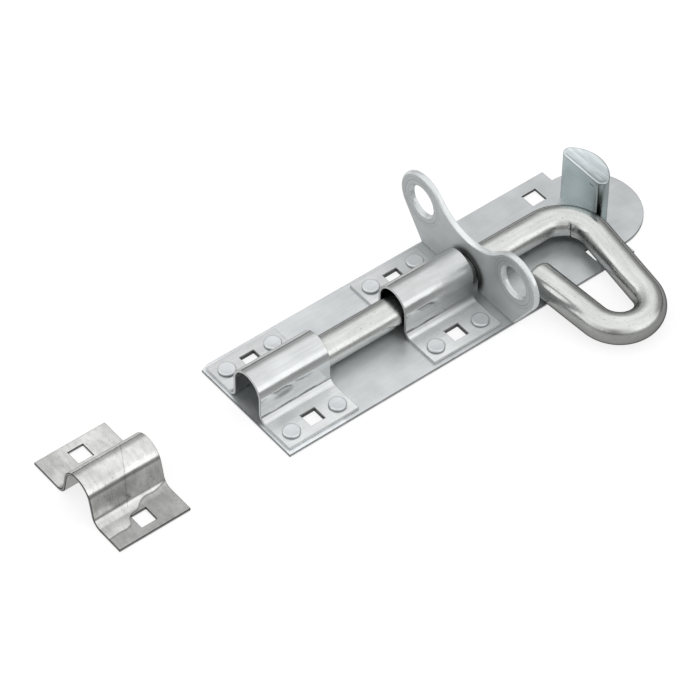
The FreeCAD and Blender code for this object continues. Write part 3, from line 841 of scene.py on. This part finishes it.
# %% [markdown]
# ## Floor, air and lamps
# Metal shows its surroundings, so a picture of metal is made by what stands round it. A round bar is a good
# witness: each strip along it mirrors one direction, and the bands on the bar tell where the studio was bright.
# Here a large soft wall stands on the near side to the right, another on the far side to the left, the air
# overhead is white, and the corner behind the bolt and the place of the camera are dim.

# %% White floor that keeps the shadow
def white_floor():
    """White to the camera; a mirror sees a dim table there, which is darker on the near side."""
    camera_share, mirror_share = 0.72, 0.85
    finish, tree = new_finish("floor_white")
    path = node(tree, "ShaderNodeLightPath")
    place = node(tree, "ShaderNodeSeparateXYZ", {0: node(tree, "ShaderNodeTexCoord").outputs["Object"]})
    cloth = node(tree, "ShaderNodeBsdfDiffuse", {"Color": (0.92, 0.92, 0.92, 1)})
    glow = node(tree, "ShaderNodeEmission", {"Color": (1, 1, 1, 1), "Strength": 1.09})
    table = node(tree, "ShaderNodeEmission", {"Color": (1, 1, 1, 1),
                                              "Strength": ramp(tree, place.outputs[1], 0.32, 0.88, (-0.10, 0.12))})
    seen = maths(tree, "MAXIMUM", path.outputs["Is Camera Ray"], path.outputs["Is Transmission Ray"])
    both = node(tree, "ShaderNodeMixShader", {0: maths(tree, "MULTIPLY", seen, camera_share), 1: cloth.outputs[0],
                                              2: glow.outputs[0]})
    mirrored = maths(tree, "MULTIPLY", path.outputs["Is Glossy Ray"], mirror_share)
    both = node(tree, "ShaderNodeMixShader", {0: mirrored, 1: both.outputs[0], 2: table.outputs[0]})
    node(tree, "ShaderNodeOutputMaterial", {"Surface": both.outputs[0]})
    mesh = bpy.data.meshes.new("floor")
    reach = 4.0
    mesh.from_pydata([(-reach, -reach, 0), (reach, -reach, 0), (reach, reach, 0), (-reach, reach, 0)], [],
                     [(0, 1, 2, 3)])
    mesh.materials.append(finish)
    floor = add_object("floor", mesh)
    floor.location.z = -0.0003
    print("floor at z =", floor.location.z)


white_floor()

# %% [markdown]
# The air is a background for the metal to mirror; the camera itself sees plain white. A short table of compass
# angles gives its brightness round the horizon, and so it decides where the bands on the bar lie.

# %% Air of the studio
def studio_air():
    """Brightness of the room: round the horizon it follows a table of compass angles, measured from the
    -X direction over -Y; overhead it is even."""
    table = [(0, 0.64), (15, 0.58), (45, 0.24), (75, 0.62), (102, 0.95), (138, 0.90), (163, 0.26), (195, 0.24),
             (225, 0.33), (255, 0.40), (285, 0.62), (315, 0.86), (345, 0.90), (360, 0.64)]
    world = bpy.data.worlds.new("air")
    bpy.context.scene.world = world
    world.use_nodes = True
    tree = world.node_tree
    tree.nodes.clear()
    way = node(tree, "ShaderNodeSeparateXYZ", {0: node(tree, "ShaderNodeTexCoord").outputs["Generated"]})
    compass = maths(tree, "ARCTAN2", way.outputs[1], way.outputs[0])
    ring = look_up(tree, compass, [(math.radians(angle - 180), level) for angle, level in table])
    low = soft_ramp(tree, way.outputs[2], 0.42, 1.38, (0.09, 0.24))
    level = maths(tree, "MULTIPLY", ring, low)
    high = soft_ramp(tree, way.outputs[2], 0.0, 1.0, (0.42, 0.80))
    overhead = 1.15
    mixed = node(tree, "ShaderNodeMix", {0: high, 2: level, 3: overhead}, data_type="FLOAT").outputs[0]
    room = node(tree, "ShaderNodeBackground", {"Color": (1, 1, 1, 1), "Strength": mixed})
    white = node(tree, "ShaderNodeBackground", {"Color": (1, 1, 1, 1), "Strength": 1.0})
    path = node(tree, "ShaderNodeLightPath")
    both = node(tree, "ShaderNodeMixShader", {0: path.outputs["Is Camera Ray"], 1: room.outputs[0],
                                              2: white.outputs[0]})
    node(tree, "ShaderNodeOutputWorld", {"Surface": both.outputs[0]})
    print("air with", len(table), "compass directions")


studio_air()

# %% [markdown]
# Two weak soft boxes lift the walls that face them and give the shadow on the floor its direction.

# %% Lamps
def stand(item, right, up, back, place):
    """Turns an object so that its own axes lie along three directions, and puts it at a place in metres."""
    pose = np.eye(4)
    pose[:3] = np.stack([right, up, back, place], -1)
    item.matrix_world = Matrix(pose.tolist())


def lamp(name, place, aim, size, watts):
    """A soft box: a rectangle of light at a place in metres, facing its aim."""
    data = bpy.data.lights.new(name, "AREA")
    data.shape, data.size, data.size_y, data.energy = "RECTANGLE", size[0], size[1], watts
    back = np.array(place, float) - np.array(aim, float)
    back /= np.linalg.norm(back)
    right = np.cross((0, 1, 0.01), back)
    right /= np.linalg.norm(right)
    stand(add_object(name, data), right, np.cross(back, right), back, place)
    print("lamp", name, "of", watts, "W")


lamp("near_wall", (0.35, -1.1, 0.56), (0, 0, 0), (1.0, 0.6), 0.35)
lamp("far_wall", (-1.0, 0.7, 0.45), (0, 0, 0), (0.8, 0.6), 0.25)

# %% [markdown]
# ## The camera
# The picture was taken with a long lens from the front left, nearly fifty degrees up. The distance, angles and
# focal length below were worked out from the corners of the plate, the bar and the stop.

# %% Place the camera
def place_camera():
    """turn, rise and roll say where the camera stands and how it is held. Distance, shift and focal length are
    in millimetres and pixels of a picture 700 pixels wide."""
    turn, rise, roll = (math.radians(v) for v in (-38.979, 47.483, 0.58))
    distance, shift_right, shift_up = 1889.05, -34.084, -19.918
    focal_pixels, picture_pixels, film_width = 3897.2, 700, 36.0
    back = np.array([math.sin(turn) * math.cos(rise), -math.cos(turn) * math.cos(rise), math.sin(rise)])
    right = np.array([math.cos(turn), math.sin(turn), 0.0])
    up = np.cross(back, right)
    right, up = math.cos(roll) * right + math.sin(roll) * up, -math.sin(roll) * right + math.cos(roll) * up
    place = np.array([0, 0, plate_thick]) + shift_right * right + shift_up * up + distance * back
    data = bpy.data.cameras.new("camera")
    data.sensor_fit, data.sensor_width = "HORIZONTAL", film_width
    data.lens = focal_pixels / picture_pixels * film_width
    data.clip_start, data.clip_end = 0.05, 50.0
    camera = add_object("camera", data)
    stand(camera, right, up, back, place * MM)
    bpy.context.scene.camera = camera
    print("camera at", np.round(place, 1), "mm, lens", round(data.lens, 1))


place_camera()
bpy.context.scene.view_settings.view_transform = "Standard"
